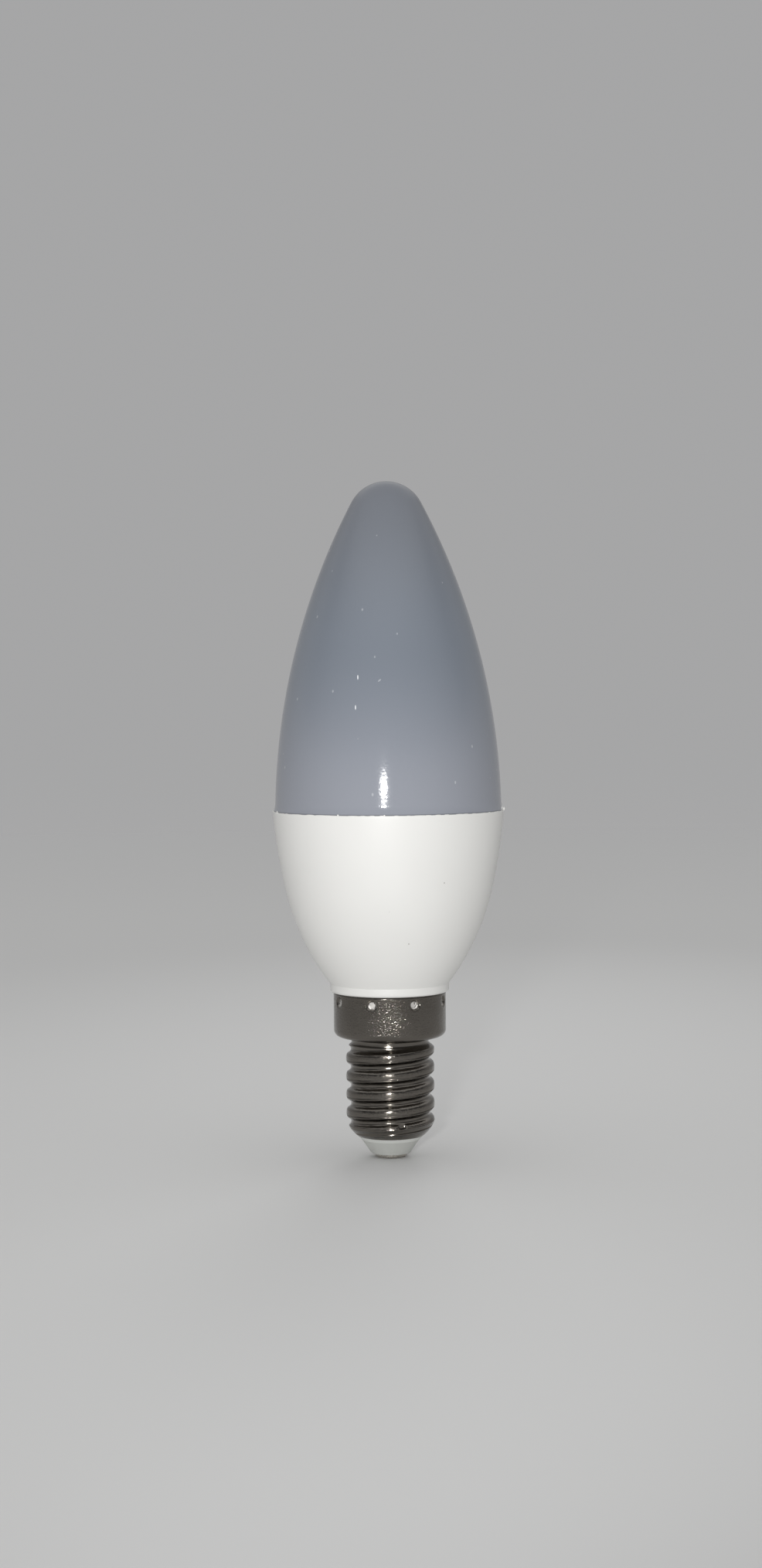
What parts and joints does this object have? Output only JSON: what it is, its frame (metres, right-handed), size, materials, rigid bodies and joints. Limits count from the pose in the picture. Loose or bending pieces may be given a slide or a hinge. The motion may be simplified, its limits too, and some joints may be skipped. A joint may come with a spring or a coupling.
{
  "type": "candle bulb",
  "caption": "LED candle lamp: a tapering opal dome on a white flared body, above a nickel-plated screw cap with a crimped skirt and an off-white insulator that carries the centre contact.",
  "frame": {"origin": "centre of the centre contact's flat face", "axes": "+Z along the lamp's axis towards the dome's tip; -Y is the side that the picture shows"},
  "size_m": [0.0356, 0.0356, 0.1044],
  "materials": {
    "opal": "glossy opal, unlit",
    "white_plastic": "satin",
    "nickel": "bright nickel plate",
    "insulator_plastic": "satin",
    "contact_metal": "dull nickel"
  },
  "bodies": {
    "root": {"diffuser": "opal", "housing": "white_plastic", "screw_cap": "nickel", "insulator": "insulator_plastic", "centre_contact": "contact_metal"}
  },
  "joints": []
}
